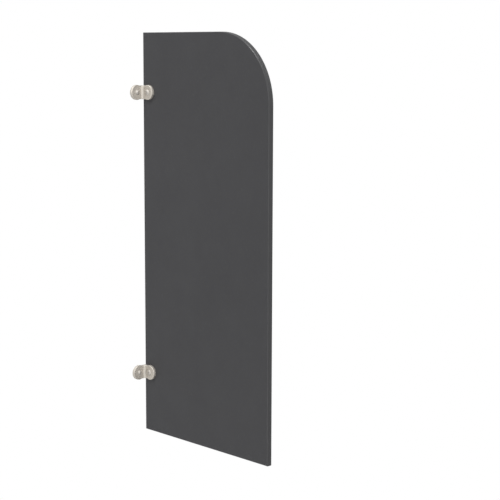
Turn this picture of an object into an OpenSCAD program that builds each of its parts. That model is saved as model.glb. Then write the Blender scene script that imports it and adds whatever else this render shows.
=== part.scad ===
// Wall-hung privacy screen: one laminate panel on two angle brackets.
// The origin is where the lower wall screw's axis meets the wall. +X runs from the wall into
// the room, +Z is up, and the brackets lie on the -Y side of the panel.

/* [Panel] */
// How far the panel reaches into the room
panel_w = 400; // [300:5:600]
// Height of the panel
panel_h = 900; // [700:10:1400]
// Thickness of the laminate
panel_t = 13; // [10:0.5:20]
// Radius of the upper front corner
corner_r = 150; // [20:5:250]
// Width of the chamfer along the panel's edges
arris = 1; // [0.4:0.1:2]
// Gap between the panel's rear edge and the wall
wall_gap = 0.5; // [0.2:0.1:3]

/* [Bracket] */
// Length of each leg, measured from the bracket's heel
leg_l = 37.5; // [35:0.5:60]
// Height of a leg across its round end
leg_h = 33; // [26:0.5:38]
// Height of the bracket at its bend
bend_h = 30; // [20:0.5:32]
// Thickness of a leg
leg_t = 6; // [4:0.5:8]
// Radius of the fillet inside the bend
bend_r = 5; // [1:0.5:6]
// Radius along the front edges of a leg
edge_r = 1.5; // [0.5:0.1:2.5]
// Chamfer on the heel, which clears the corner of wall and panel
heel_c = 0.8; // [0.2:0.1:2]
// Distance from the panel's top edge to the upper bracket's middle
top_inset = 131; // [60:1:250]
// Distance from the panel's bottom edge to the lower bracket's middle
bottom_inset = 136; // [60:1:250]

/* [Panel screw and barrel nut] */
// Thread diameter of the panel screw
panel_screw_d = 6; // [4:0.5:6.5]
// Diameter of the panel screw's head
panel_head_d = 13; // [10:0.5:18]
// Height of the panel screw's head
panel_head_h = 3.4; // [2.6:0.1:5]
// Width across flats of the hexagon sockets
socket_af = 4; // [3:0.5:5]
// Depth of the hexagon sockets
socket_depth = 1.8; // [1:0.1:2.2]
// Length of barrel left free beyond the panel screw's end
screw_back = 3; // [1:0.5:5]
// Outer diameter of the nut's barrel
barrel_d = 8; // [7.5:0.1:10]
// Distance that the barrel stays short of the panel's near face
barrel_back = 1; // [0.5:0.5:3]
// Diameter of the barrel nut's head
nut_head_d = 13; // [11:0.5:16]
// Height of the barrel nut's head
nut_head_h = 3; // [2.6:0.1:5]
// Outer diameter of the washer under the barrel nut's head
washer_d = 16; // [14:0.5:20]
// Thickness of that washer
washer_t = 1; // [0.5:0.1:2]

/* [Wall screw and plug] */
// Thread diameter of the wall screw
wall_screw_d = 5; // [4:0.5:6]
// Length of the wall screw under its head
wall_screw_l = 44; // [38:1:60]
// Length of the wall screw's point
point_l = 6; // [3:0.5:10]
// Diameter of the wall screw's head
wall_head_d = 11; // [9:0.5:14]
// Height of the wall screw's head
wall_head_h = 3.6; // [2.8:0.1:5]
// Length of one arm of the cross recess, from tip to tip
cross_l = 5.4; // [4:0.1:7]
// Width of one arm of the cross recess
cross_w = 1.1; // [0.8:0.1:1.6]
// Depth of the cross recess
cross_depth = 1.8; // [1:0.1:2.2]
// Outer diameter of the wall plug, which is the drill's
plug_d = 8; // [7.5:0.5:12]
// Length of the wall plug
plug_l = 40; // [34:1:60]
// Length of the plug's plain neck
neck_l = 12; // [4:1:20]
// Number of barbs on the plug
barbs = 6; // [3:1:8]
// Depth of the grooves between the barbs
barb_depth = 0.5; // [0.2:0.1:0.8]
// Width of the slits that let the plug spread
slit_w = 1.2; // [0.6:0.1:2]

/* [Clearances] */
// Radial clearance of both screws in the bracket's holes
hole_gap = 0.3; // [0.1:0.1:0.8]
// Radial clearance of the barrel in the panel's hole and the washer
barrel_gap = 0.2; // [0.1:0.1:0.6]
// Radial clearance between a screw's crests and what it turns in
thread_gap = 0.1; // [0.05:0.05:0.2]

/* [Hidden] */
$fn = 64;
// Extra length that carries a cutting shape clear of the face it cuts
clear = 1;
// How deep a leg's straight run lies inside its round end, so that the two fuse
merge = 0.05;

// A leg's round end is centred on its screw hole
end_r = leg_h / 2;
hole_u = leg_l - end_r;
// The line from the bend's half height that touches the round end
bend_reach = norm([hole_u, bend_h / 2]);
edge_l = sqrt(bend_reach ^ 2 - end_r ^ 2);
taper = acos(-end_r / bend_reach) - atan2(bend_h / 2, hole_u) - 90;
// Heights of the two brackets' middles, and of the panel's two ends
lower_z = 0;
bottom_z = lower_z - bottom_inset;
top_z = bottom_z + panel_h;
upper_z = top_z - top_inset;
// The panel's near face, on which the brackets lie
near_y = hole_u;
// Radius of the holes that the barrels pass through
panel_hole_r = barrel_d / 2 + barrel_gap;
// Height of the rim below a head's dome
head_rim = 0.3;

// Colours
charcoal = [0.30, 0.30, 0.305];
nickel = [0.76, 0.73, 0.70];
steel = [0.80, 0.79, 0.77];
nylon = [0.90, 0.89, 0.86];

// Radius of the sphere whose cap is rise high over a circle of radius r
function cap_r(r, rise) = (r ^ 2 + rise ^ 2) / (2 * rise);

// A bar's section, w by h about its middle, with chamfers of c at its corners
module chamfered_section(w, h, c) {
    x = w / 2;
    y = h / 2;
    polygon([
        [-x, c - y], [c - x, -y], [x - c, -y], [x, c - y],
        [x, y - c], [x - c, y], [c - x, y], [-x, y - c]
    ]);
}

// A round blank of radius r as thick as the panel, with both edges chamfered
module chamfered_disc(r) {
    rotate([90, 0, 0])
        rotate_extrude($fn = 128)
            polygon([
                [0, -panel_t / 2], [r - arris, -panel_t / 2], [r, arris - panel_t / 2],
                [r, panel_t / 2 - arris], [r - arris, panel_t / 2], [0, panel_t / 2]
            ]);
}

module at_upper() {
    translate([0, near_y, upper_z]) children();
}

module at_lower() {
    translate([0, near_y, lower_z]) children();
}

// Turns a shape drawn along +Z at the origin so that it runs into the panel, at its screw hole
module along_panel_hole() {
    translate([hole_u, 0, 0]) rotate([-90, 0, 0]) children();
}

// Turns a shape drawn along +Z at the origin so that it runs into the room, at the wall hole
module along_wall_hole() {
    translate([0, -hole_u, 0]) rotate([0, 90, 0]) children();
}

// The board: a slab chamfered all round, with one corner turned to corner_r
module screen_panel() {
    color(charcoal)
        difference() {
            translate([wall_gap + panel_w / 2, near_y + panel_t / 2, (top_z + bottom_z) / 2])
                difference() {
                    slab();
                    corner_waste();
                }
            for (z = [lower_z, upper_z])
                translate([0, near_y, z])
                    along_panel_hole()
                        translate([0, 0, -clear])
                            cylinder(r = panel_hole_r, h = panel_t + 2 * clear);
        }
}

// The two crossing bars leave a slab whose four long chamfers meet in mitres
module slab() {
    intersection() {
        linear_extrude(panel_h, center = true)
            chamfered_section(panel_w, panel_t, arris);
        rotate([0, 90, 0])
            linear_extrude(panel_w, center = true)
                chamfered_section(panel_h, panel_t, arris);
    }
}

// What the rounding of the upper front corner takes away from the slab
module corner_waste() {
    translate([panel_w / 2 - corner_r, 0, panel_h / 2 - corner_r])
        difference() {
            translate([0, -panel_t / 2 - clear, 0])
                cube([corner_r + clear, panel_t + 2 * clear, corner_r + clear]);
            chamfered_disc(corner_r);
        }
}

// Section of a leg from its edge inwards: w wide, as thick as the leg, its front edge rounded
module rounded_section(w) {
    difference() {
        square([w, leg_t]);
        translate([w - edge_r, leg_t - edge_r])
            difference() {
                square(edge_r + clear);
                circle(edge_r);
            }
    }
}

// Half of a leg's straight run, under the line that touches the round end
module tapered_bar() {
    translate([0, 0, bend_h / 2])
        rotate([0, -taper, 0])
            translate([-leg_t, 0, -leg_h - merge])
                rotate([90, 0, 90])
                    linear_extrude(leg_t + edge_l)
                        rotate(90) rounded_section(leg_h);
}

// One leg, flat on the plane y = 0 and as thick as leg_t towards -Y
module leg() {
    translate([hole_u, 0, 0])
        rotate([90, 0, 0])
            rotate_extrude()
                rounded_section(end_r);
    intersection() {
        tapered_bar();
        mirror([0, 0, 1]) tapered_bar();
    }
}

// The angle's section, with its heel chamfered and its bend filleted
module angle_section() {
    difference() {
        polygon([
            [0, -heel_c], [heel_c, 0], [leg_l + clear, 0], [leg_l + clear, -leg_t],
            [leg_t + bend_r, -leg_t], [leg_t, -leg_t - bend_r],
            [leg_t, -leg_l - clear], [0, -leg_l - clear]
        ]);
        translate([leg_t + bend_r, -leg_t - bend_r]) circle(bend_r);
    }
}

module bracket() {
    color(nickel)
        difference() {
            intersection() {
                linear_extrude(leg_h + 2 * clear, center = true) angle_section();
                union() {
                    leg();
                    mirror([1, 1, 0]) leg();
                    linear_extrude(bend_h, center = true)
                        mirror([0, 1]) square(leg_t + bend_r);
                }
            }
            along_panel_hole()
                translate([0, 0, -leg_t - clear])
                    cylinder(r = panel_screw_d / 2 + hole_gap, h = leg_t + 2 * clear);
            along_wall_hole()
                translate([0, 0, -clear])
                    cylinder(r = wall_screw_d / 2 + hole_gap, h = leg_t + 2 * clear);
        }
}

// A domed head standing on z = 0
module dome_head(d, h) {
    ball_r = cap_r(d / 2, h - head_rim);
    intersection() {
        cylinder(d = d, h = h);
        translate([0, 0, h - ball_r]) sphere(ball_r);
    }
}

// A hexagon socket cut down from the top of a head h high
module socket(h) {
    translate([0, 0, h - socket_depth])
        linear_extrude(socket_depth + clear)
            circle(socket_af / sqrt(3), $fn = 6);
}

// The machine screw that clamps the bracket to the panel
module panel_screw() {
    shank_l = leg_t + panel_t - screw_back;
    color(steel)
        along_panel_hole()
            translate([0, 0, -leg_t]) {
                mirror([0, 0, 1])
                    difference() {
                        dome_head(panel_head_d, panel_head_h);
                        socket(panel_head_h);
                    }
                cylinder(d = panel_screw_d, h = shank_l);
            }
}

// The nut whose barrel fills the panel's hole from the far face
module barrel_nut() {
    barrel_l = panel_t + washer_t - barrel_back;
    color(steel)
        along_panel_hole()
            translate([0, 0, panel_t + washer_t]) {
                difference() {
                    union() {
                        dome_head(nut_head_d, nut_head_h);
                        translate([0, 0, -barrel_l]) cylinder(d = barrel_d, h = barrel_l);
                    }
                    socket(nut_head_h);
                    translate([0, 0, -barrel_l - clear])
                        cylinder(r = panel_screw_d / 2 + thread_gap, h = barrel_l + clear);
                }
            }
}

module nut_washer() {
    color(nylon)
        along_panel_hole()
            translate([0, 0, panel_t])
                difference() {
                    cylinder(d = washer_d, h = washer_t);
                    translate([0, 0, -clear])
                        cylinder(r = panel_hole_r, h = washer_t + 2 * clear);
                }
}

// The wood screw that holds the bracket to the wall, its head on the wall leg
module wall_screw() {
    color(steel)
        along_wall_hole()
            translate([0, 0, leg_t]) {
                difference() {
                    dome_head(wall_head_d, wall_head_h);
                    for (turn = [0, 90])
                        rotate(turn)
                            translate([-cross_l / 2, -cross_w / 2, wall_head_h - cross_depth])
                                cube([cross_l, cross_w, cross_depth + clear]);
                }
                mirror([0, 0, 1]) {
                    cylinder(d = wall_screw_d, h = wall_screw_l - point_l);
                    translate([0, 0, wall_screw_l - point_l])
                        cylinder(d1 = wall_screw_d, d2 = 0, h = point_l);
                }
            }
}

// The nylon plug in the wall: a plain neck, then barbs that point back to the mouth
module wall_plug() {
    barb_l = (plug_l - neck_l) / barbs;
    r = plug_d / 2;
    color(nylon)
        along_wall_hole()
            mirror([0, 0, 1])
                difference() {
                    rotate_extrude()
                        polygon(concat(
                            [[0, 0], [r, 0], [r, neck_l]],
                            [for (i = [0:barbs - 1], step = [0, 1])
                                [r - (1 - step) * barb_depth, neck_l + (i + step) * barb_l]],
                            [[0, plug_l]]
                        ));
                    translate([0, 0, -clear])
                        cylinder(r = wall_screw_d / 2 + thread_gap, h = plug_l + 2 * clear);
                    for (turn = [0, 90])
                        rotate(turn)
                            translate([-r - clear, -slit_w / 2, neck_l])
                                cube([2 * (r + clear), slit_w, plug_l]);
                }
}

screen_panel();
at_upper() bracket();  // upper_bracket
at_lower() bracket();  // lower_bracket
at_upper() panel_screw();  // upper_panel_screw
at_lower() panel_screw();  // lower_panel_screw
at_upper() barrel_nut();  // upper_barrel_nut
at_lower() barrel_nut();  // lower_barrel_nut
at_upper() nut_washer();  // upper_nut_washer
at_lower() nut_washer();  // lower_nut_washer
at_upper() wall_screw();  // upper_wall_screw
at_lower() wall_screw();  // lower_wall_screw
at_upper() wall_plug();  // upper_wall_plug
at_lower() wall_plug();  // lower_wall_plug
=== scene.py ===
"""Models and finishes a wall-hung privacy screen around its packed construction frame.

The board, the brackets and each kind of fixing are one operator each, and one more sets the
stage. A panel in the 3D view's sidebar lists them, and main() runs them in order. Lengths are
in metres. In the frame, +X runs out from the wall and +Z is up. The brackets lie on the board's
near face, which looks along -Y.
"""

import math

import bmesh
import bpy
from bpy.props import FloatProperty, FloatVectorProperty, IntProperty, PointerProperty
from bpy.types import NodeSocket, Operator, Panel, PropertyGroup
from mathutils import Matrix, Vector


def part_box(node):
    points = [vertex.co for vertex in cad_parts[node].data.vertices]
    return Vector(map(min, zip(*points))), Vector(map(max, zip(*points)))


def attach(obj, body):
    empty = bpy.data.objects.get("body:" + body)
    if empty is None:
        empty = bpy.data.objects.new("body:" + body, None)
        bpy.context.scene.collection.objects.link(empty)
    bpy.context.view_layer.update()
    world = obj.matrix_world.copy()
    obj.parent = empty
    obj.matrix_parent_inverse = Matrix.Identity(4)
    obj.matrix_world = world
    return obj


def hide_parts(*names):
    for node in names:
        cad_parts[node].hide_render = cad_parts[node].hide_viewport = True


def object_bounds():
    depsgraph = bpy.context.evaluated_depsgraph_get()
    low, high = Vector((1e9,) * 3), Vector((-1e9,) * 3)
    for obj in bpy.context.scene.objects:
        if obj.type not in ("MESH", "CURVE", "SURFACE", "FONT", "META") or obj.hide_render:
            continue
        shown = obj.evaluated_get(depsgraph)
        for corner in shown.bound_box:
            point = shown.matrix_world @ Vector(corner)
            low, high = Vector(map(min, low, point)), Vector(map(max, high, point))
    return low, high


bl_info = {
    "name": "Privacy Screen",
    "version": (1, 0, 0),
    "blender": (4, 5, 0),
    "location": "3D View > Sidebar > Privacy Screen",
    "description": "Models a wall-hung privacy screen with its brackets and fixings",
    "category": "Add Mesh",
}

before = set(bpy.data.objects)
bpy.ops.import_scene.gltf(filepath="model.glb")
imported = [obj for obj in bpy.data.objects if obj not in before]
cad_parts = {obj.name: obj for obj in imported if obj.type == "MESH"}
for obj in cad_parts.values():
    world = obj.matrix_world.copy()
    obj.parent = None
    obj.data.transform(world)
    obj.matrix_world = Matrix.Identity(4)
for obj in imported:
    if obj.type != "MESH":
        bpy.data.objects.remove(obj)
CAD_BOX = [list(corner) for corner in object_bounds()]

MM = 0.001
# The two fixing points, whose pieces are alike
LEVELS = ("lower", "upper")
# Vertices closer than this are merged, and lengths that differ by less than NEAR are the same
WELD = 0.0005 * MM
NEAR = 0.01 * MM
# How far a cutting solid stands clear of what it cuts
CLEAR = 1 * MM
# Steps round a turned piece, and from the top of a domed head to its rim
TURN_STEPS = 64
DOME_STEPS = 12
# Fillet between a screw's head and its shank, and rounding of the edges of screws and nuts
NECK = 0.3 * MM
FIXING_EDGE = 0.12 * MM
# Width of the chamfer round a hexagon socket's mouth, and height of the cone that the drill
# leaves at its bottom, as a share of the drill's radius
SOCKET_MOUTH = 0.15 * MM
DRILL_POINT = 1 / 3
# How much of their length and width the arms of a cross recess keep at the bottom
CROSS_TAPER = (0.65, 0.7, 1)
# Shares of a thread's pitch that go to each flank and each flat, and its spare turns
FLANK = 0.4
FLAT = 0.1
SPARE_TURNS = 2
# Length over which a thread runs out into the shank above it
RUN_OUT = 0.5 * MM
# Edges that turn by less than this are shaded smooth
SMOOTH_ANGLE = math.radians(35)
# Turns a piece modelled along +Z to face off the wall, the near face or the far face
OFF_WALL = (0, math.radians(90), 0)
OFF_NEAR_FACE = (math.radians(90), 0, 0)
OFF_FAR_FACE = (math.radians(-90), 0, 0)
# Spacing of the nodes in a node tree, across and down
NODE_COLUMN = 220
NODE_ROW = 260
# Distances from the origin between which the floor fades to white
FLOOR_FADE = (1.2, 3.0)
WHITE = (1, 1, 1, 1)


# --- Sizes and colours ---


def length(name, description, default_mm):
    """A size in metres, given here in millimetres."""
    default = default_mm * MM
    return FloatProperty(
        name=name, description=description, default=default, min=0, unit="LENGTH", precision=5
    )


def colour(name, description, default):
    """A linear colour."""
    return FloatVectorProperty(
        name=name, description=description, default=default, min=0, max=1, subtype="COLOR"
    )


class ScreenSizes(PropertyGroup):
    """The sizes that the frame's boxes don't give."""

    corner_radius: length("Corner radius", "Radius of the board's upper front corner", 150)
    chamfer: length("Chamfer", "Width of the chamfer round the board", 1)
    ease: length("Ease", "Radius that takes the sharpness off the chamfer", 0.15)
    leg_thickness: length("Leg thickness", "Thickness of a bracket's leg", 6)
    bend_height: length("Bend height", "Height of a bracket at its bend", 30)
    bend_radius: length("Bend radius", "Radius of the fillet inside a bracket's bend", 5)
    leg_edge: length("Leg edge", "Radius along the front edge of a bracket's leg", 1.5)
    heel: length("Heel", "Chamfer along a bracket's heel", 0.8)
    bolt: length("Bolt thread", "Outer diameter of the panel screw's thread", 6)
    bolt_core: length("Bolt core", "Diameter of the panel screw at the root of its thread", 4.9)
    bolt_pitch: length("Bolt pitch", "Pitch of the panel screw's thread", 1)
    bolt_thread: length("Bolt thread length", "Length of the panel screw that is threaded", 12)
    socket: length("Socket", "Width across the flats of the hexagon sockets", 4)
    socket_depth: length("Socket depth", "Depth of the hexagon sockets", 1.8)
    barrel: length("Barrel", "Outer diameter of the barrel nut's barrel", 8)
    barrel_bore: length("Barrel bore", "Diameter of the bore in the barrel", 6.2)
    board_hole: length("Board hole", "Diameter of the holes in the board", 8.4)
    head_rim: length("Head rim", "Height of the rim under a domed head", 0.3)
    wood_thread: length("Wood thread", "Outer diameter of the wall screw's thread", 5)
    wood_core: length("Wood core", "Diameter of the wall screw at the root of its thread", 3.4)
    wood_pitch: length("Wood pitch", "Pitch of the wall screw's thread", 2.2)
    wood_shank: length("Wood shank", "Length of plain shank under the wall screw's head", 10)
    wood_point: length("Wood point", "Length of the wall screw's point", 6)
    cross: length("Cross", "Length of one arm of the cross recess, tip to tip", 5.4)
    cross_width: length("Cross width", "Width of one arm of the cross recess", 1.1)
    cross_depth: length("Cross depth", "Depth of the cross recess", 1.8)
    plug_neck: length("Plug neck", "Length of the wall plug's plain neck", 12)
    plug_bore: length("Plug bore", "Diameter of the wall plug's bore", 5.2)
    plug_barb: length("Plug barb", "Depth of the grooves between the wall plug's barbs", 0.5)
    plug_slit: length("Plug slit", "Width of the slits that let the wall plug spread", 1.2)
    plug_barbs: IntProperty(
        name="Plug barbs", description="Number of barbs on the wall plug", default=6, min=1
    )


class ScreenColours(PropertyGroup):
    """The finishes' colours, all linear."""

    board: colour("Board", "Decor faces of the board", (0.0435, 0.0435, 0.046))
    core: colour("Core", "Core that shows along the board's edges", (0.032, 0.032, 0.0335))
    nickel: colour("Nickel", "Satin nickel plating", (0.55, 0.517, 0.47))
    steel: colour("Steel", "Stainless steel of the screws and nuts", (0.50, 0.475, 0.44))
    nylon: colour("Nylon", "Natural nylon of the washers and plugs", (0.72, 0.70, 0.65))
    floor: colour("Floor", "The plain floor under the screen", (0.75, 0.75, 0.75))


def sizes():
    """The scene's ScreenSizes."""
    return bpy.context.scene.screen_sizes


def colours():
    """The scene's ScreenColours."""
    return bpy.context.scene.screen_colours


def middle(node):
    """The middle of a construction node's box."""
    low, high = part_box(node)
    return (low + high) / 2


# --- Modelling by hand ---


def deselect():
    """Goes to object mode, with nothing selected."""
    if bpy.context.mode != "OBJECT":
        bpy.ops.object.mode_set(mode="OBJECT")
    bpy.ops.object.select_all(action="DESELECT")


def make_active(piece):
    """Selects one piece alone and makes it the active one."""
    deselect()
    piece.select_set(True)
    bpy.context.view_layer.objects.active = piece


def freeze_place(name):
    """Moves the active piece's place, turn and scale into its mesh, and names both."""
    bpy.ops.object.transform_apply(location=True, rotation=True, scale=True)
    piece = bpy.context.object
    piece.name = piece.data.name = name
    return piece


def edit(piece):
    """Opens a piece in edit mode."""
    make_active(piece)
    bpy.ops.object.mode_set(mode="EDIT")


def select(test, kind="verts"):
    """Selects the vertices, edges or faces that pass a test, and nothing else, in edit mode."""
    bpy.ops.mesh.select_mode(type={"verts": "VERT", "edges": "EDGE", "faces": "FACE"}[kind])
    bpy.ops.mesh.select_all(action="DESELECT")
    mesh = bmesh.from_edit_mesh(bpy.context.object.data)
    for element in getattr(mesh, kind):
        if test(element):
            element.select_set(True)
    mesh.select_flush_mode()
    bmesh.update_edit_mesh(bpy.context.object.data)


def near(a, b):
    """Whether two lengths are the same."""
    return abs(a - b) < NEAR


def ends(edge):
    """The places of an edge's two ends."""
    return [vertex.co for vertex in edge.verts]


def start_drawing(name, place):
    """Starts a new piece from one vertex, which is left selected in edit mode."""
    deselect()
    bpy.ops.mesh.primitive_plane_add(size=MM, location=place)
    piece = freeze_place(name)
    edit(piece)
    bpy.ops.mesh.select_mode(type="VERT")
    bpy.ops.mesh.select_all(action="SELECT")
    bpy.ops.mesh.merge(type="CENTER")
    return piece


def draw_line(*step):
    """Extrudes what is selected by a step along X, Y and Z."""
    bpy.ops.mesh.extrude_region_move(TRANSFORM_OT_translate={"value": step})


def draw_outline(corners):
    """Draws on from the first corner to the last, each given by its radius and height."""
    for (radius, height), (next_radius, next_height) in zip(corners, corners[1:]):
        draw_line(next_radius - radius, 0, next_height - height)


def draw_arc(centre, axis, turn, steps):
    """Spins what is selected round an axis, right-handed."""
    bpy.ops.mesh.spin(steps=steps, angle=-turn, center=centre, axis=axis)


def close_mesh(piece):
    """Merges a piece's doubles and turns its normals outwards."""
    edit(piece)
    bpy.ops.mesh.select_mode(type="VERT")
    bpy.ops.mesh.select_all(action="SELECT")
    bpy.ops.mesh.remove_doubles(threshold=WELD)
    bpy.ops.mesh.normals_make_consistent(inside=False)
    make_active(piece)


def bevel(width, segments, affect="EDGES"):
    """Bevels the edges or vertices that are selected."""
    bpy.ops.mesh.bevel(
        affect=affect,
        offset_type="OFFSET",
        offset=width,
        segments=segments,
        profile=0.5,
        clamp_overlap=False,
    )


def spin_full(piece):
    """Spins the whole drawing round Z into a closed piece."""
    bpy.ops.mesh.select_all(action="SELECT")
    draw_arc((0, 0, 0), (0, 0, 1), math.tau, TURN_STEPS)
    close_mesh(piece)


def turn_outline(name, corners):
    """A turned piece round Z, from the radius and height of each corner of its outline."""
    radius, height = corners[0]
    piece = start_drawing(name, (radius, 0, height))
    draw_outline(corners)
    spin_full(piece)
    return piece


def add_box(name, low, high):
    """A box between two corners, to cut with."""
    deselect()
    low, high = Vector(low), Vector(high)
    bpy.ops.mesh.primitive_cube_add(size=1, location=(low + high) / 2, scale=high - low)
    return freeze_place(name)


def add_rod(name, radius, start, end, sides=TURN_STEPS):
    """A cylinder between two points, to cut with."""
    deselect()
    start, end = Vector(start), Vector(end)
    run = end - start
    bpy.ops.mesh.primitive_cylinder_add(
        vertices=sides,
        radius=radius,
        depth=run.length,
        location=(start + end) / 2,
        rotation=run.to_track_quat("Z", "Y").to_euler(),
    )
    return freeze_place(name)


def apply_modifier(piece, kind, **settings):
    """Adds a modifier to a piece, sets it up and applies it."""
    make_active(piece)
    bpy.ops.object.modifier_add(type=kind)
    modifier = piece.modifiers[-1]
    for name, value in settings.items():
        setattr(modifier, name, value)
    bpy.ops.object.modifier_apply(modifier=modifier.name)


def combine(piece, tool, operation="DIFFERENCE"):
    """Cuts a tool out of a piece, joins it on or keeps what both share, and removes the tool."""
    apply_modifier(piece, "BOOLEAN", operation=operation, solver="EXACT", object=tool)
    bpy.data.objects.remove(tool)
    close_mesh(piece)


def soften_edges(piece, width, degrees=40, segments=2):
    """Rounds every edge that turns by more than an angle."""
    apply_modifier(
        piece,
        "BEVEL",
        width=width,
        segments=segments,
        limit_method="ANGLE",
        angle_limit=math.radians(degrees),
        use_clamp_overlap=True,
    )


def smooth(piece):
    """Shades a piece smooth, with its large faces kept flat."""
    make_active(piece)
    bpy.ops.object.shade_smooth_by_angle(angle=SMOOTH_ANGLE)
    apply_modifier(piece, "WEIGHTED_NORMAL", mode="FACE_AREA", weight=100, keep_sharp=True)


def remember_place(piece):
    """Keeps each vertex's place on the bench, where a turned piece's axis is Z, as an attribute."""
    attribute = piece.data.attributes.new("bench", "FLOAT_VECTOR", "POINT")
    for vertex, stored in zip(piece.data.vertices, attribute.data):
        stored.vector = vertex.co


def copy_to(piece, name, place, turned):
    """A copy with its own mesh, turned and moved from the origin to its place in the frame."""
    make_active(piece)
    bpy.ops.object.duplicate(linked=False)
    copy = bpy.context.object
    copy.rotation_euler = turned
    copy.location = place
    return freeze_place(name)


def fit(piece, node, slot):
    """Puts a finished piece in a construction node's stead, in the slot's finish."""
    piece.data.materials.clear()
    piece.data.materials.append(finish(slot))
    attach(piece, "root")
    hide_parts(node)


def fit_pair(piece, name, node, slot, turned=(0, 0, 0), **seat):
    """Fits a copy of a piece at each level, in its node's middle but for a given X or Y, and
    removes the piece.
    """
    for level in LEVELS:
        place = middle(f"{level}_{node}")
        for axis, value in seat.items():
            setattr(place, axis, value)
        fit(copy_to(piece, f"{level}_{name}", place, turned), f"{level}_{node}", slot)
    bpy.data.objects.remove(piece)


# --- Parts of the screws and nuts ---


def turn_headed(name, head_radius, head_height, corners):
    """A turned piece with a domed head, whose outline goes on from the foot of the rim."""
    rim = sizes().head_rim
    rise = head_height - rim
    ball = (head_radius**2 + rise**2) / (2 * rise)
    piece = start_drawing(name, (0, 0, head_height))
    draw_arc((0, 0, head_height - ball), (0, 1, 0), math.asin(head_radius / ball), DOME_STEPS)
    draw_line(0, 0, -rim)
    draw_outline([(head_radius, 0), *corners])
    spin_full(piece)
    soften_edges(piece, FIXING_EDGE)
    return piece


def shank_outline(radius, plain):
    """The corners of a screw's plain shank, from the fillet under its head to its axis."""
    return [(radius + NECK, 0), (radius, -NECK), (radius, -plain), (0, -plain)]


def add_thread(major, minor, pitch, bottom, top, steps):
    """A closed threaded rod round Z that reaches past both of its ends by a turn or two."""
    turns = math.ceil((top - bottom) / pitch) + SPARE_TURNS
    depth, flank, flat = (major - minor) / 2, FLANK * pitch, FLAT * pitch
    piece = start_drawing("thread", (minor / 2, 0, bottom - SPARE_TURNS * pitch))
    for radial, axial in ((depth, flank), (0, flat), (-depth, flank), (0, flat)):
        draw_line(radial, 0, axial)
    apply_modifier(
        piece,
        "SCREW",
        axis="Z",
        angle=math.tau,
        screw_offset=pitch,
        iterations=turns,
        steps=steps,
        render_steps=steps,
    )
    close_mesh(piece)
    edit(piece)
    waist = bottom + (turns - SPARE_TURNS) * pitch / 2
    for below in (True, False):
        select(lambda edge: edge.is_boundary and (edge.verts[0].co.z < waist) == below, "edges")
        draw_line(0, 0, 0)
        bpy.ops.mesh.merge(type="CENTER")
    close_mesh(piece)
    return piece


def cut_socket(piece, top):
    """Cuts a hexagon socket with a drilled bottom and a chamfered mouth into a head."""
    corner, drill = sizes().socket / math.sqrt(3), sizes().socket / 2
    bottom, above = top - sizes().socket_depth, top + CLEAR
    mouth = corner + SOCKET_MOUTH
    combine(piece, add_rod("socket", corner, (0, 0, bottom), (0, 0, above), sides=6))
    point, end = bottom - DRILL_POINT * drill, bottom + drill
    corners = [(0, point), (drill, bottom + NEAR), (drill, end), (0, end)]
    combine(piece, turn_outline("drill", corners))
    corners = [(0, top - mouth), (mouth + CLEAR, above), (0, above)]
    combine(piece, turn_outline("mouth", corners))


def cut_cross(piece, top):
    """Cuts a cross recess into a head: four tapered arms round a cone."""
    arm, width = sizes().cross / 2, sizes().cross_width / 2
    bottom, above = top - sizes().cross_depth, top + CLEAR
    for turn in (0, math.radians(90)):
        blade = add_box("blade", (-arm, -width, bottom), (arm, width, top))
        edit(blade)
        select(lambda face: near(face.calc_center_median().z, bottom), "faces")
        bpy.ops.transform.resize(value=CROSS_TAPER, center_override=(0, 0, bottom))
        select(lambda face: near(face.calc_center_median().z, top), "faces")
        draw_line(0, 0, CLEAR)
        make_active(blade)
        blade.rotation_euler = (0, 0, turn)
        combine(piece, freeze_place("blade"))
    root = 2 * width
    corners = [(0, bottom - width / 2), (root, top), (root, above), (0, above)]
    combine(piece, turn_outline("cone", corners))


# --- Nodes ---


def add_node(tree, kind, sockets=None, **settings):
    """Adds a node to the right of those that feed it, and fills or links its input sockets."""
    node = tree.nodes.new(kind)
    for name, value in settings.items():
        setattr(node, name, value)
    column = 0
    for key, value in (sockets or {}).items():
        if isinstance(value, NodeSocket):
            tree.links.new(value, node.inputs[key])
            column = max(column, value.node.location.x + NODE_COLUMN)
        else:
            node.inputs[key].default_value = value
    row = sum(other != node and other.location.x == column for other in tree.nodes)
    node.location = (column, -row * NODE_ROW)
    return node


def noise(tree, vector, scale=1.0, detail=2.0, roughness=0.5):
    """A noise texture's grey output."""
    sockets = {"Vector": vector, "Scale": scale, "Detail": detail, "Roughness": roughness}
    return add_node(tree, "ShaderNodeTexNoise", sockets).outputs["Fac"]


def stretch(tree, vector, scale):
    """A pattern's coordinates, scaled along each axis."""
    sockets = {"Vector": vector, "Scale": scale}
    return add_node(tree, "ShaderNodeMapping", sockets).outputs["Vector"]


def remap(tree, value, given, wanted=(0, 1)):
    """A value, moved from one range to another and held inside it."""
    labels = ("Value", "From Min", "From Max", "To Min", "To Max")
    sockets = dict(zip(labels, (value, *given, *wanted)))
    return add_node(tree, "ShaderNodeMapRange", sockets).outputs["Result"]


def calculate(tree, operation, first, second, clamp=False):
    """What a sum on two values gives, each a socket or a number."""
    sockets = {0: first, 1: second}
    node = add_node(tree, "ShaderNodeMath", sockets, operation=operation, use_clamp=clamp)
    return node.outputs["Value"]


def mix_colours(tree, factor, first, second):
    """Two colours, mixed by a mask. Each may be a socket or a linear colour."""
    sockets = {0: factor}
    # A Mix node's colours are its inputs 6 and 7, and its output 2
    for key, value in ((6, first), (7, second)):
        sockets[key] = value if isinstance(value, NodeSocket) else (*value, 1)
    return add_node(tree, "ShaderNodeMix", sockets, data_type="RGBA").outputs[2]


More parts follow.
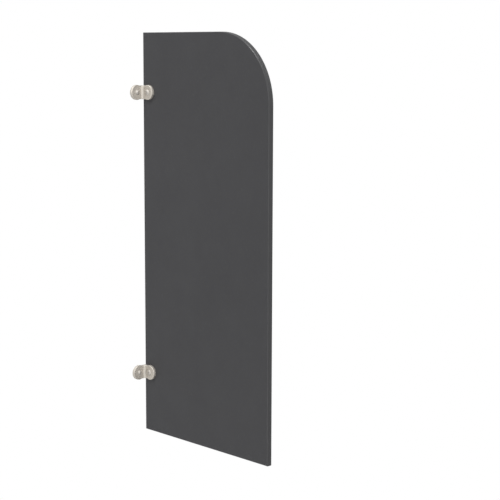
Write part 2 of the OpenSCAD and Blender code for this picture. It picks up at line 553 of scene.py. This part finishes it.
def mix_shaders(tree, factor, first, second):
    """Two shader nodes, mixed by a mask."""
    sockets = {0: factor, 1: first.outputs[0], 2: second.outputs[0]}
    return add_node(tree, "ShaderNodeMixShader", sockets)


def bump(tree, height, strength, distance, normal=None):
    """A normal that is raised by a height, on top of another normal if there is one."""
    sockets = {"Height": height, "Strength": strength, "Distance": distance}
    if normal is not None:
        sockets["Normal"] = normal
    return add_node(tree, "ShaderNodeBump", sockets).outputs["Normal"]


def tint(base, share):
    """A colour made lighter or darker by a share of itself."""
    return tuple(min(1, channel * share) for channel in base)


# --- Effects that the finishes share ---


def fine_grain(tree, given):
    """A fine pitted grain, and the slow mottle of a pressed or cast surface."""
    place, scale = given["Vector"], given["Scale"]
    broad = calculate(tree, "DIVIDE", scale, 60.0)
    return {
        "Height": noise(tree, place, scale, detail=4, roughness=0.6),
        "Mottle": noise(tree, place, broad, detail=5, roughness=0.6),
    }


def worn_and_highlit_edge(tree, given):
    """A mask of the edges, patchy, where handling rubs a finish and where a painted edge highlight
    lightens it.
    """
    rounded = add_node(tree, "ShaderNodeBevel", {"Radius": given["Radius"]}, samples=4)
    true = add_node(tree, "ShaderNodeNewGeometry")
    sockets = {0: rounded.outputs["Normal"], 1: true.outputs["Normal"]}
    same = add_node(tree, "ShaderNodeVectorMath", sockets, operation="DOT_PRODUCT")
    edge = remap(tree, same.outputs["Value"], (0.995, 0.90))
    patches = noise(tree, given["Vector"], 180.0, detail=4, roughness=0.65)
    worn = remap(tree, patches, (0.38, 0.62), (0.15, 1))
    return {"Rub": calculate(tree, "MULTIPLY", edge, worn)}


def handling(tree, given):
    """Faint smudges and wiping marks, which show in the gloss alone."""
    wiped = stretch(tree, given["Vector"], (1, 1, 0.35))
    marks = noise(tree, wiped, given["Scale"], detail=6, roughness=0.62)
    return {"Smudge": remap(tree, marks, (0.35, 0.65))}


# What builds each effect, and the label and default of its one number
# The edge effect stands for rubbed wear and for a painted edge highlight at once
GROUPS = {
    "Fine Grain": (fine_grain, "Scale", 1000.0),
    "Rubbed Edge": (worn_and_highlit_edge, "Radius", 0.5 * MM),
    "Handling": (handling, "Scale", 12.0),
}


def make_group(name):
    """Builds a shared effect as a node group with named inputs and outputs."""
    build, label, default = GROUPS[name]
    tree = bpy.data.node_groups.new(name, "ShaderNodeTree")
    tree.interface.new_socket("Vector", in_out="INPUT", socket_type="NodeSocketVector")
    number = tree.interface.new_socket(label, in_out="INPUT", socket_type="NodeSocketFloat")
    number.default_value = default
    results = build(tree, add_node(tree, "NodeGroupInput").outputs)
    for result in results:
        tree.interface.new_socket(result, in_out="OUTPUT", socket_type="NodeSocketFloat")
    add_node(tree, "NodeGroupOutput", results)
    return tree


def use_group(tree, name, place, **number):
    """A shared effect's outputs, at this finish's own scale."""
    group = bpy.data.node_groups.get(name) or make_group(name)
    sockets = {"Vector": place, **number}
    return add_node(tree, "ShaderNodeGroup", sockets, node_tree=group).outputs


# --- Finishes ---


def make_material(name, build):
    """A new material, whose nodes a function builds on the piece's Object coordinates."""
    material = bpy.data.materials.new(name)
    material.use_nodes = True
    tree = material.node_tree
    tree.nodes.clear()
    build(tree, add_node(tree, "ShaderNodeTexCoord").outputs["Object"])
    return material


def end_finish(tree, shade, roughness, normal, others):
    """The shader and the output, with constants set on the shader's own sockets."""
    sockets = {"Base Color": shade, "Roughness": roughness, "Normal": normal, **others}
    shader = add_node(tree, "ShaderNodeBsdfPrincipled", sockets)
    add_node(tree, "ShaderNodeOutputMaterial", {"Surface": shader.outputs["BSDF"]})


def laminate(tree, place):
    """Matt compact laminate: a suede-textured decor face over a layered, milled core."""
    base, dark = colours().board, colours().core
    grain = use_group(tree, "Fine Grain", place, Scale=1400.0)
    marks = use_group(tree, "Handling", place, Scale=9.0)
    wear_and_highlight = use_group(tree, "Rubbed Edge", place, Radius=0.8 * MM)
    # Share of the edge mask that lightens the colour, as wear and as a painted edge highlight, and
    # lowers the roughness
    edge_wear_and_highlight = calculate(tree, "MULTIPLY", wear_and_highlight["Rub"], 0.3)

    # Masks by the depth under a face: the core, the decor film and the chamfer's polish
    low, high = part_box("screen_panel")
    half, chamfer = (high.y - low.y) / 2, sizes().chamfer
    across = add_node(tree, "ShaderNodeSeparateXYZ", {0: place}).outputs["Y"]
    centred = calculate(tree, "SUBTRACT", across, (low.y + high.y) / 2)
    from_middle = calculate(tree, "ABSOLUTE", centred, 0.0)
    core = remap(tree, from_middle, (half - 0.22 * MM, half - 0.14 * MM), (1, 0))
    decor = calculate(tree, "SUBTRACT", 1.0, core)
    inner = remap(tree, from_middle, (half - chamfer, half - 0.95 * chamfer))
    outer = remap(tree, from_middle, (half - 0.08 * chamfer, half - 0.02 * chamfer), (0.6, 0))
    polish = calculate(tree, "MULTIPLY", inner, outer)

    # Colour: a cloudy face with fibre flecks, a layered core, and edges lightened by wear and by a
    # painted edge highlight
    cloudy = remap(tree, grain["Mottle"], (0.35, 0.65))
    clouds = mix_colours(tree, cloudy, tint(base, 0.97), tint(base, 1.03))
    fibres = noise(tree, stretch(tree, place, (420, 420, 140)), detail=4, roughness=0.7)
    flecks = remap(tree, fibres, (0.55, 0.70), (0, 0.5))
    face = mix_colours(tree, flecks, clouds, tint(base, 1.4))
    layers = noise(tree, stretch(tree, place, (12, 5200, 12)), detail=3, roughness=0.6)
    edge = mix_colours(tree, layers, tint(dark, 0.8), tint(dark, 1.2))
    body = mix_colours(tree, core, face, edge)
    # Painted edge highlight and wear: the edges go towards a lighter tint of the decor
    shade = mix_colours(tree, edge_wear_and_highlight, body, tint(base, 1.6))

    # Gloss, and relief from coarse to fine
    sheen = remap(tree, marks["Smudge"], (0, 1), (0.50, 0.58))
    suede = noise(tree, place, 620.0, detail=3, roughness=0.55)
    pressed = calculate(tree, "MULTIPLY", suede, decor)
    milled = calculate(tree, "MULTIPLY", layers, core)
    normal = bump(tree, pressed, strength=0.6, distance=0.20 * MM)
    normal = bump(tree, grain["Height"], strength=0.5, distance=0.08 * MM, normal=normal)
    normal = bump(tree, milled, strength=0.3, distance=0.03 * MM, normal=normal)
    others = {"Specular IOR Level": 0.22, "Coat Weight": polish, "Coat Roughness": 0.3}
    end_finish(tree, shade, calculate(tree, "SUBTRACT", sheen, edge_wear_and_highlight), normal, others)


def satin_nickel(tree, place):
    """Satin nickel on a casting: soft brushing, a slight unevenness, and edges brightened by wear
    and by a painted edge highlight.
    """
    base = colours().nickel
    grain = use_group(tree, "Fine Grain", place, Scale=2600.0)
    marks = use_group(tree, "Handling", place, Scale=90.0)
    wear_and_highlight = use_group(tree, "Rubbed Edge", place, Radius=0.7 * MM)
    brush = noise(tree, stretch(tree, place, (240, 240, 5200)), detail=3, roughness=0.55)
    cast = noise(tree, place, 160.0, detail=2, roughness=0.5)
    plating = mix_colours(tree, grain["Mottle"], tint(base, 0.9), tint(base, 1.08))
    # Edges lighter: partly rubbed wear, partly a painted edge highlight
    shade = mix_colours(tree, wear_and_highlight["Rub"], plating, tint(base, 1.12))
    sheen = remap(tree, marks["Smudge"], (0, 1), (0.58, 0.66))
    streaks = remap(tree, brush, (0.3, 0.7), (-0.04, 0.05))
    normal = bump(tree, cast, strength=0.35, distance=0.10 * MM)
    normal = bump(tree, brush, strength=0.22, distance=0.01 * MM, normal=normal)
    end_finish(tree, shade, calculate(tree, "ADD", sheen, streaks), normal, {"Metallic": 1.0})


def stainless_steel(tree, place):
    """Turned stainless steel: rings round the piece's own axis, and slight smudges."""
    base = colours().steel
    bench = add_node(tree, "ShaderNodeAttribute", attribute_name="bench").outputs["Vector"]
    axes = add_node(tree, "ShaderNodeSeparateXYZ", {0: bench}).outputs
    flat = add_node(tree, "ShaderNodeCombineXYZ", {"X": axes["X"], "Y": axes["Y"]}).outputs[0]
    radius = add_node(tree, "ShaderNodeVectorMath", {0: flat}, operation="LENGTH").outputs["Value"]
    ring = add_node(tree, "ShaderNodeCombineXYZ", {"X": radius, "Y": axes["Z"]}).outputs[0]
    rings = noise(tree, ring, 9000.0, detail=2, roughness=0.5)
    marks = use_group(tree, "Handling", place, Scale=140.0)
    wear_and_highlight = use_group(tree, "Rubbed Edge", place, Radius=0.3 * MM)
    turned = mix_colours(tree, rings, tint(base, 0.93), tint(base, 1.07))
    # Edges lighter: partly rubbed wear, partly a painted edge highlight
    shade = mix_colours(tree, wear_and_highlight["Rub"], turned, tint(base, 1.2))
    sheen = remap(tree, marks["Smudge"], (0, 1), (0.64, 0.72))
    normal = bump(tree, rings, strength=0.3, distance=0.006 * MM)
    end_finish(tree, shade, sheen, normal, {"Metallic": 1.0})


def nylon(tree, place):
    """Natural nylon: slightly see-through, with the soft waviness of a moulding."""
    base = colours().nylon
    grain = use_group(tree, "Fine Grain", place, Scale=1800.0)
    marks = use_group(tree, "Handling", place, Scale=60.0)
    flow = noise(tree, place, 420.0, detail=3, roughness=0.5)
    shade = mix_colours(tree, grain["Mottle"], tint(base, 0.93), tint(base, 1.05))
    sheen = remap(tree, marks["Smudge"], (0, 1), (0.38, 0.5))
    normal = bump(tree, flow, strength=0.25, distance=0.05 * MM)
    normal = bump(tree, grain["Height"], strength=0.15, distance=0.01 * MM, normal=normal)
    others = {
        "Subsurface Weight": 0.2,
        "Subsurface Radius": (1.0, 0.85, 0.7),
        "Subsurface Scale": 0.8 * MM,
    }
    end_finish(tree, shade, sheen, normal, others)


# The material that stands for each of the record's slots, and what builds it
FINISHES = {
    "laminate": ("Matt Charcoal Laminate", laminate),
    "satin_nickel": ("Satin Nickel", satin_nickel),
    "stainless_steel": ("Turned Stainless Steel", stainless_steel),
    "nylon": ("Natural Nylon", nylon),
}


def finish(slot):
    """A slot's material, made the first time that it is asked for."""
    name, build = FINISHES[slot]
    return bpy.data.materials.get(name) or make_material(name, build)


# --- Pieces ---


class PRIVACY_SCREEN_OT_board(Operator):
    """Adds the laminate board with its rounded corner, chamfered edges and bolt holes"""

    bl_idname = "privacy_screen.board"
    bl_label = "Board"
    bl_options = {"REGISTER", "UNDO"}

    # Steps round the rounded corner
    corner_steps = 72

    def execute(self, context):
        low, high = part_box("screen_panel")
        width, thickness, height = high - low
        centre = (low + high) / 2
        deselect()
        bpy.ops.mesh.primitive_plane_add(
            size=1, location=(centre.x, low.y, centre.z), rotation=OFF_NEAR_FACE
        )
        bpy.context.object.scale = (width, height, 1)
        board = freeze_place("laminate_board")
        edit(board)
        self.round_corner(high)
        bpy.ops.mesh.select_all(action="SELECT")
        draw_line(0, thickness, 0)
        close_mesh(board)
        edit(board)
        self.chamfer_edges(low, high)
        for level in LEVELS:
            x, _, z = middle(f"{level}_panel_screw")
            start, end = (x, low.y - CLEAR, z), (x, high.y + CLEAR, z)
            combine(board, add_rod("drill", sizes().board_hole / 2, start, end))
        soften_edges(board, sizes().ease, degrees=30, segments=3)
        smooth(board)
        fit(board, "screen_panel", "laminate")
        return {"FINISHED"}

    def round_corner(self, high):
        """Rounds the upper front corner of the flat outline."""
        select(lambda vertex: near(vertex.co.x, high.x) and near(vertex.co.z, high.z))
        bevel(sizes().corner_radius, self.corner_steps, "VERTICES")

    def chamfer_edges(self, low, high):
        """Chamfers the outline of both faces."""

        def on_face(edge):
            return any(all(near(end.y, y) for end in ends(edge)) for y in (low.y, high.y))

        select(on_face, "edges")
        bevel(sizes().chamfer, 1)


class PRIVACY_SCREEN_OT_brackets(Operator):
    """Adds the two cast angle brackets, waisted at the bend, with round ends"""

    bl_idname = "privacy_screen.brackets"
    bl_label = "Brackets"
    bl_options = {"REGISTER", "UNDO"}

    # Steps round a leg's end, along its waist, across its front edge and up the bend's fillet
    end_steps = 48
    waist_steps = 6
    edge_steps = 5
    fillet_steps = 8
    # Gap round a screw in its hole, and softness of the casting's other edges
    hole_gap = 0.3 * MM
    soft_edge = 0.2 * MM

    def execute(self, context):
        low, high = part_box("lower_bracket")
        leg_length, _, leg_height = high - low
        end_radius = leg_height / 2
        hole = leg_length - end_radius
        thickness = sizes().leg_thickness
        reach = thickness + sizes().bend_radius
        half_bend = sizes().bend_height / 2
        bracket = self.draw_leg(end_radius, hole, reach, half_bend, thickness)
        self.draw_bend(reach, half_bend, thickness)
        self.mirror_leg(bracket)
        for screw, start, end in (
            (sizes().bolt, (hole, CLEAR, 0), (hole, -thickness - CLEAR, 0)),
            (sizes().wood_thread, (-CLEAR, -hole, 0), (thickness + CLEAR, -hole, 0)),
        ):
            combine(bracket, add_rod("drill", screw / 2 + self.hole_gap, start, end))
        soften_edges(bracket, self.soft_edge)
        smooth(bracket)
        fit_pair(bracket, "cast_bracket", "bracket", "satin_nickel", x=low.x, y=high.y)
        return {"FINISHED"}

    def draw_leg(self, end_radius, hole, reach, half_bend, thickness):
        """Draws the leg that lies along +X on the plane Y = 0, open where its bend begins."""
        run = hole - reach
        waist = (run**2 + half_bend**2 - end_radius**2) / (2 * (end_radius - half_bend))
        sweep = math.atan2(run, half_bend + waist)
        piece = start_drawing("bracket", (reach, 0, half_bend))
        for centre, turn, steps in (
            ((reach, 0, half_bend + waist), -sweep, self.waist_steps),
            ((hole, 0, 0), math.pi + 2 * sweep, self.end_steps),
            ((reach, 0, -half_bend - waist), -sweep, self.waist_steps),
        ):
            draw_arc(centre, (0, 1, 0), turn, steps)
        bpy.ops.mesh.select_all(action="SELECT")
        draw_line(0, -thickness, 0)
        bpy.ops.mesh.edge_face_add()
        select(lambda vertex: near(vertex.co.y, 0))
        bpy.ops.mesh.edge_face_add()

        def on_front_rim(edge):
            in_front = all(near(end.y, -thickness) for end in ends(edge))
            return in_front and not all(near(end.x, reach) for end in ends(edge))

        select(on_front_rim, "edges")
        bevel(sizes().leg_edge, self.edge_steps)
        return piece

    def draw_bend(self, reach, half_bend, thickness):
        """Adds half of the bend, from the end of the leg to the mitre."""
        heel = sizes().heel
        side = thickness - sizes().leg_edge

        def at_end(edge, test):
            return all(near(end.x, reach) and test(end) for end in ends(edge))

        select(lambda edge: at_end(edge, lambda end: end.y < NEAR - side), "edges")
        draw_arc((reach, -reach, 0), (0, 0, 1), math.radians(45), self.fillet_steps)
        select(lambda edge: at_end(edge, lambda end: near(end.y, 0)), "edges")
        draw_line(heel - reach, 0, 0)
        draw_line(-heel / 2, -heel / 2, 0)
        for z in (half_bend, -half_bend):
            select(lambda vertex: near(vertex.co.z, z) and vertex.co.x < reach + NEAR)
            bpy.ops.mesh.edge_face_add()

    def mirror_leg(self, bracket):
        """Mirrors the leg and half bend across the mitre."""
        close_mesh(bracket)
        deselect()
        bpy.ops.object.empty_add(rotation=(0, 0, math.radians(45)))
        mitre = bpy.context.object
        apply_modifier(
            bracket, "MIRROR", mirror_object=mitre, use_mirror_merge=True, merge_threshold=NEAR
        )
        bpy.data.objects.remove(mitre)
        close_mesh(bracket)


class PRIVACY_SCREEN_OT_panel_screws(Operator):
    """Adds the button-headed machine screws that clamp the brackets to the board"""

    bl_idname = "privacy_screen.panel_screws"
    bl_label = "Panel Screws"
    bl_options = {"REGISTER", "UNDO"}

    # Steps round a turn of the thread, and the chamfer at the thread's end
    thread_steps = 32
    end_chamfer = 0.8 * MM

    def execute(self, context):
        low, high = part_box("lower_panel_screw")
        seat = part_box("lower_bracket")[1].y - sizes().leg_thickness
        head_height, shank = seat - low.y, high.y - seat
        plain = shank - sizes().bolt_thread
        major, minor, pitch = sizes().bolt, sizes().bolt_core, sizes().bolt_pitch
        radius, root = major / 2, minor / 2
        outline = shank_outline(radius, plain)
        screw = turn_headed("screw", (high.x - low.x) / 2, head_height, outline)
        cut_socket(screw, head_height)
        thread = add_thread(major, minor, pitch, -shank, -plain, self.thread_steps)
        corners = [
            (0, RUN_OUT - plain),
            (root, RUN_OUT - plain),
            (radius, -plain),
            (radius, self.end_chamfer - shank),
            (radius - self.end_chamfer, -shank),
            (0, -shank),
        ]
        combine(thread, turn_outline("blank", corners), "INTERSECT")
        combine(screw, thread, "UNION")
        remember_place(screw)
        smooth(screw)
        fit_pair(screw, "button_screw", "panel_screw", "stainless_steel", OFF_NEAR_FACE, y=seat)
        return {"FINISHED"}


class PRIVACY_SCREEN_OT_barrel_nuts(Operator):
    """Adds the domed barrel nuts that fill the board's holes from its far face"""

    bl_idname = "privacy_screen.barrel_nuts"
    bl_label = "Barrel Nuts"
    bl_options = {"REGISTER", "UNDO"}

    # Chamfer at the open end of the barrel, inside and outside
    ease = 0.4 * MM

    def execute(self, context):
        low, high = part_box("lower_barrel_nut")
        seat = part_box("lower_nut_washer")[1].y
        head_height, end = high.y - seat, low.y - seat
        radius, bore = sizes().barrel / 2, sizes().barrel_bore / 2
        corners = [
            (radius, 0),
            (radius, end + self.ease),
            (radius - self.ease, end),
            (bore + self.ease, end),
            (bore, end + self.ease),
            (bore, 0),
            (0, 0),
        ]
        nut = turn_headed("nut", (high.x - low.x) / 2, head_height, corners)
        cut_socket(nut, head_height)
        remember_place(nut)
        smooth(nut)
        fit_pair(nut, "domed_nut", "barrel_nut", "stainless_steel", OFF_FAR_FACE, y=seat)
        return {"FINISHED"}


class PRIVACY_SCREEN_OT_washers(Operator):
    """Adds the nylon washers under the barrel nuts' heads"""

    bl_idname = "privacy_screen.washers"
    bl_label = "Washers"
    bl_options = {"REGISTER", "UNDO"}

    soft_edge = 0.3 * MM

    def execute(self, context):
        low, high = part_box("lower_nut_washer")
        outer, thickness = (high.x - low.x) / 2, high.y - low.y
        hole = sizes().board_hole / 2
        corners = [(hole, 0), (outer, 0), (outer, thickness), (hole, thickness), (hole, 0)]
        washer = turn_outline("washer", corners)
        soften_edges(washer, self.soft_edge, segments=4)
        smooth(washer)
        fit_pair(washer, "nylon_washer", "nut_washer", "nylon", OFF_FAR_FACE, y=low.y)
        return {"FINISHED"}


class PRIVACY_SCREEN_OT_wall_screws(Operator):
    """Adds the round-headed wood screws that hold the brackets to the wall"""

    bl_idname = "privacy_screen.wall_screws"
    bl_label = "Wall Screws"
    bl_options = {"REGISTER", "UNDO"}

    # Steps round a turn of the thread
    thread_steps = 24
    # How much of its width the thread keeps at its tip, and how far up the tip reaches
    tip_share = 0.06
    tip_length = 0.4 * MM

    def execute(self, context):
        low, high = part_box("lower_wall_screw")
        seat, plain = sizes().leg_thickness, sizes().wood_shank
        head_height = high.x - seat
        outline = shank_outline(sizes().wood_thread / 2, plain)
        screw = turn_headed("screw", (high.y - low.y) / 2, head_height, outline)
        cut_cross(screw, head_height)
        combine(screw, self.add_pointed_thread(low.x - seat, -plain), "UNION")
        remember_place(screw)
        smooth(screw)
        fit_pair(screw, "wood_screw", "wall_screw", "stainless_steel", OFF_WALL, x=seat)
        return {"FINISHED"}

    def add_pointed_thread(self, tip, top):
        """A coarse thread whose last turns shrink to a point."""
        major, minor, pitch = sizes().wood_thread, sizes().wood_core, sizes().wood_pitch
        thread = add_thread(
            major, minor, pitch, tip + SPARE_TURNS * pitch, top - pitch, self.thread_steps
        )
        corners = [
            (0, RUN_OUT + top),
            (minor / 2, RUN_OUT + top),
            (major / 2, top - RUN_OUT),
            (major / 2, tip),
            (0, tip),
        ]
        combine(thread, turn_outline("blank", corners), "INTERSECT")
        edit(thread)
        select(lambda vertex: vertex.co.z < tip + self.tip_length)
        bpy.ops.transform.resize(
            value=(self.tip_share, self.tip_share, 1),
            center_override=(0, 0, tip),
            use_proportional_edit=True,
            proportional_edit_falloff="LINEAR",
            proportional_size=sizes().wood_point,
        )
        make_active(thread)
        return thread


class PRIVACY_SCREEN_OT_wall_plugs(Operator):
    """Adds the slit and barbed nylon plugs that the wall screws turn in"""

    bl_idname = "privacy_screen.wall_plugs"
    bl_label = "Wall Plugs"
    bl_options = {"REGISTER", "UNDO"}

    # Share of a barb's length that the step into its groove takes, and the land at its end
    step_share = 0.12
    soft_edge = 0.1 * MM

    def execute(self, context):
        low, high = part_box("lower_wall_plug")
        radius, depth = (high.y - low.y) / 2, high.x - low.x
        neck, barb, bore = sizes().plug_neck, sizes().plug_barb, sizes().plug_bore / 2
        step = (depth - neck) / sizes().plug_barbs
        lead = self.step_share * step
        corners = [(bore, 0), (radius, 0), (radius, -neck)]
        for i in range(sizes().plug_barbs):
            top = -neck - i * step
            end = top - step
            corners += [(radius - barb, top - lead), (radius, end + lead), (radius, end)]
        plug = turn_outline("plug", [*corners, (bore, -depth), (bore, 0)])
        soften_edges(plug, self.soft_edge, degrees=30)
        slit, wide = sizes().plug_slit / 2, radius + CLEAR
        for saw_x, saw_y in ((wide, slit), (slit, wide)):
            low_corner, high_corner = (-saw_x, -saw_y, -depth - CLEAR), (saw_x, saw_y, -neck)
            combine(plug, add_box("saw", low_corner, high_corner))
        smooth(plug)
        fit_pair(plug, "barbed_plug", "wall_plug", "nylon", OFF_WALL, x=high.x)
        return {"FINISHED"}


# --- Stage ---


def seen_directly(tree):
    """1 on rays from the camera, and on those that a gloss or a glass sends on, else 0."""
    path = add_node(tree, "ShaderNodeLightPath").outputs
    seen = calculate(tree, "ADD", path["Is Camera Ray"], path["Is Glossy Ray"])
    return calculate(tree, "ADD", seen, path["Is Transmission Ray"], clamp=True)


def glow(tree, kind, strength=1.0):
    """An emission or background node that gives off white light."""
    return add_node(tree, kind, {"Color": WHITE, "Strength": strength})


def see_through_back(tree, front):
    """Ends a material that shows a shader node in front and is clear from behind."""
    back = add_node(tree, "ShaderNodeNewGeometry").outputs["Backfacing"]
    mixed = mix_shaders(tree, back, front, add_node(tree, "ShaderNodeBsdfTransparent"))
    add_node(tree, "ShaderNodeOutputMaterial", {"Surface": mixed.outputs[0]})


def pale_floor(tree, place):
    """A plain pale floor round the origin, which fades to white further out."""
    base = colours().floor
    patches = noise(tree, place, 2.5, detail=3, roughness=0.5)
    shade = mix_colours(tree, patches, tint(base, 0.99), tint(base, 1.01))
    sockets = {"Base Color": shade, "Roughness": 0.7, "Specular IOR Level": 0.2}
    paint = add_node(tree, "ShaderNodeBsdfPrincipled", sockets)
    out = add_node(tree, "ShaderNodeVectorMath", {0: place}, operation="LENGTH").outputs["Value"]
    faded = calculate(tree, "MULTIPLY", remap(tree, out, FLOOR_FADE), seen_directly(tree))
    see_through_back(tree, mix_shaders(tree, faded, paint, glow(tree, "ShaderNodeEmission")))


def white_wall(tree, _):
    """White as seen from the front, and clear from behind and to the lamps."""
    clear = add_node(tree, "ShaderNodeBsdfTransparent")
    white = glow(tree, "ShaderNodeEmission")
    see_through_back(tree, mix_shaders(tree, seen_directly(tree), clear, white))


class PRIVACY_SCREEN_OT_stage(Operator):
    """Sets the floor, the plain white wall, the lights and the camera"""

    bl_idname = "privacy_screen.stage"
    bl_label = "Stage"
    bl_options = {"REGISTER", "UNDO"}

    # Width of the floor and of the wall
    breadth = 12.0
    # How far the board's lower edge hangs above the floor
    hang = 0.55
    # How far the wall stands behind the brackets
    wall_gap = 0.5 * MM
    # The camera's place, the way it looks, and its focal length and sensor in millimetres
    camera_place = (2.3915, -1.9220, 0.7240)
    camera_azimuth = math.radians(46.47)
    camera_elevation = math.radians(8.23)
    camera_roll = math.radians(0.19)
    camera_lens = 99.0
    camera_sensor = 36.0
    # Name, place, power in watts and width of each soft lamp
    lamps = (
        ("key_lamp", (0.2, -2.6, 4.6), 150.0, 2.0),
        ("top_lamp", (0.8, 0.3, 5.0), 60.0, 1.6),
        ("front_lamp", (4.4, -0.6, 1.6), 120.0, 2.4),
        ("far_lamp", (0.6, 4.0, 2.4), 60.0, 2.0),
    )
    world_level = 0.5

    def execute(self, context):
        floor_z = CAD_BOX[0][2] - self.hang
        floor = self.add_plane("floor", (0, 0, floor_z), (0, 0, 0))
        floor.data.materials.append(make_material("Pale Floor", pale_floor))
        wall_place = (-self.wall_gap, 0, floor_z + self.breadth / 2)
        wall = self.add_plane("wall", wall_place, OFF_WALL)
        wall.data.materials.append(make_material("White Wall", white_wall))
        self.set_world()
        for name, place, watts, width in self.lamps:
            self.add_lamp(name, Vector(place), watts, width)
        self.add_camera()
        context.scene.view_settings.view_transform = "Standard"
        return {"FINISHED"}

    def add_plane(self, name, place, turned):
        """A large square round its place."""
        deselect()
        bpy.ops.mesh.primitive_plane_add(size=self.breadth, location=place, rotation=turned)
        return freeze_place(name)

    def set_world(self):
        """An even light all round, seen as plain white."""
        world = bpy.data.worlds.new("Even Light")
        world.use_nodes = True
        tree = world.node_tree
        tree.nodes.clear()
        light = glow(tree, "ShaderNodeBackground", self.world_level)
        mixed = mix_shaders(tree, seen_directly(tree), light, glow(tree, "ShaderNodeBackground"))
        add_node(tree, "ShaderNodeOutputWorld", {"Surface": mixed.outputs[0]})
        bpy.context.scene.world = world

    def add_lamp(self, name, place, watts, width):
        """A soft square lamp that faces the board."""
        deselect()
        facing = (middle("screen_panel") - place).to_track_quat("-Z", "Y").to_euler()
        bpy.ops.object.light_add(type="AREA", location=place, rotation=facing)
        lamp = bpy.context.object
        lamp.name = lamp.data.name = name
        lamp.data.shape = "SQUARE"
        lamp.data.size = width
        lamp.data.energy = watts

    def add_camera(self):
        """The camera at the photograph's viewing angle."""
        azimuth, elevation = self.camera_azimuth, self.camera_elevation
        level = math.cos(elevation)
        back = Vector(
            (math.sin(azimuth) * level, -math.cos(azimuth) * level, math.sin(elevation))
        )
        roll = Matrix.Rotation(self.camera_roll, 3, "Z")
        facing = (-back).to_track_quat("-Z", "Y").to_matrix() @ roll
        deselect()
        bpy.ops.object.camera_add(location=self.camera_place, rotation=facing.to_euler())
        camera = bpy.context.object
        camera.name = camera.data.name = "camera"
        camera.data.sensor_width = self.camera_sensor
        camera.data.lens = self.camera_lens
        bpy.context.scene.camera = camera


# --- Add-on ---


OPERATORS = (
    PRIVACY_SCREEN_OT_stage,
    PRIVACY_SCREEN_OT_board,
    PRIVACY_SCREEN_OT_brackets,
    PRIVACY_SCREEN_OT_panel_screws,
    PRIVACY_SCREEN_OT_barrel_nuts,
    PRIVACY_SCREEN_OT_washers,
    PRIVACY_SCREEN_OT_wall_screws,
    PRIVACY_SCREEN_OT_wall_plugs,
)


class PRIVACY_SCREEN_PT_tools(Panel):
    """Lists the screen's pieces, sizes and colours."""

    bl_label = "Privacy Screen"
    bl_space_type = "VIEW_3D"
    bl_region_type = "UI"
    bl_category = "Privacy Screen"

    def draw(self, context):
        column = self.layout.column(align=True)
        for operator in OPERATORS:
            column.operator(operator.bl_idname)
        for group in (context.scene.screen_sizes, context.scene.screen_colours):
            box = self.layout.box()
            for name in group.bl_rna.properties.keys():
                if name not in ("rna_type", "name"):
                    box.prop(group, name)


CLASSES = (ScreenSizes, ScreenColours, *OPERATORS, PRIVACY_SCREEN_PT_tools)


def register():
    """Registers the classes, and gives each scene its sizes and colours."""
    for item in CLASSES:
        bpy.utils.register_class(item)
    bpy.types.Scene.screen_sizes = PointerProperty(type=ScreenSizes)
    bpy.types.Scene.screen_colours = PointerProperty(type=ScreenColours)


def unregister():
    """Undoes register."""
    del bpy.types.Scene.screen_colours
    del bpy.types.Scene.screen_sizes
    for item in reversed(CLASSES):
        bpy.utils.unregister_class(item)


def main():
    """Makes the stage and every piece."""
    register()
    bpy.ops.privacy_screen.stage()
    bpy.ops.privacy_screen.board()
    bpy.ops.privacy_screen.brackets()
    bpy.ops.privacy_screen.panel_screws()
    bpy.ops.privacy_screen.barrel_nuts()
    bpy.ops.privacy_screen.washers()
    bpy.ops.privacy_screen.wall_screws()
    bpy.ops.privacy_screen.wall_plugs()


if __name__ == "__main__":
    main()
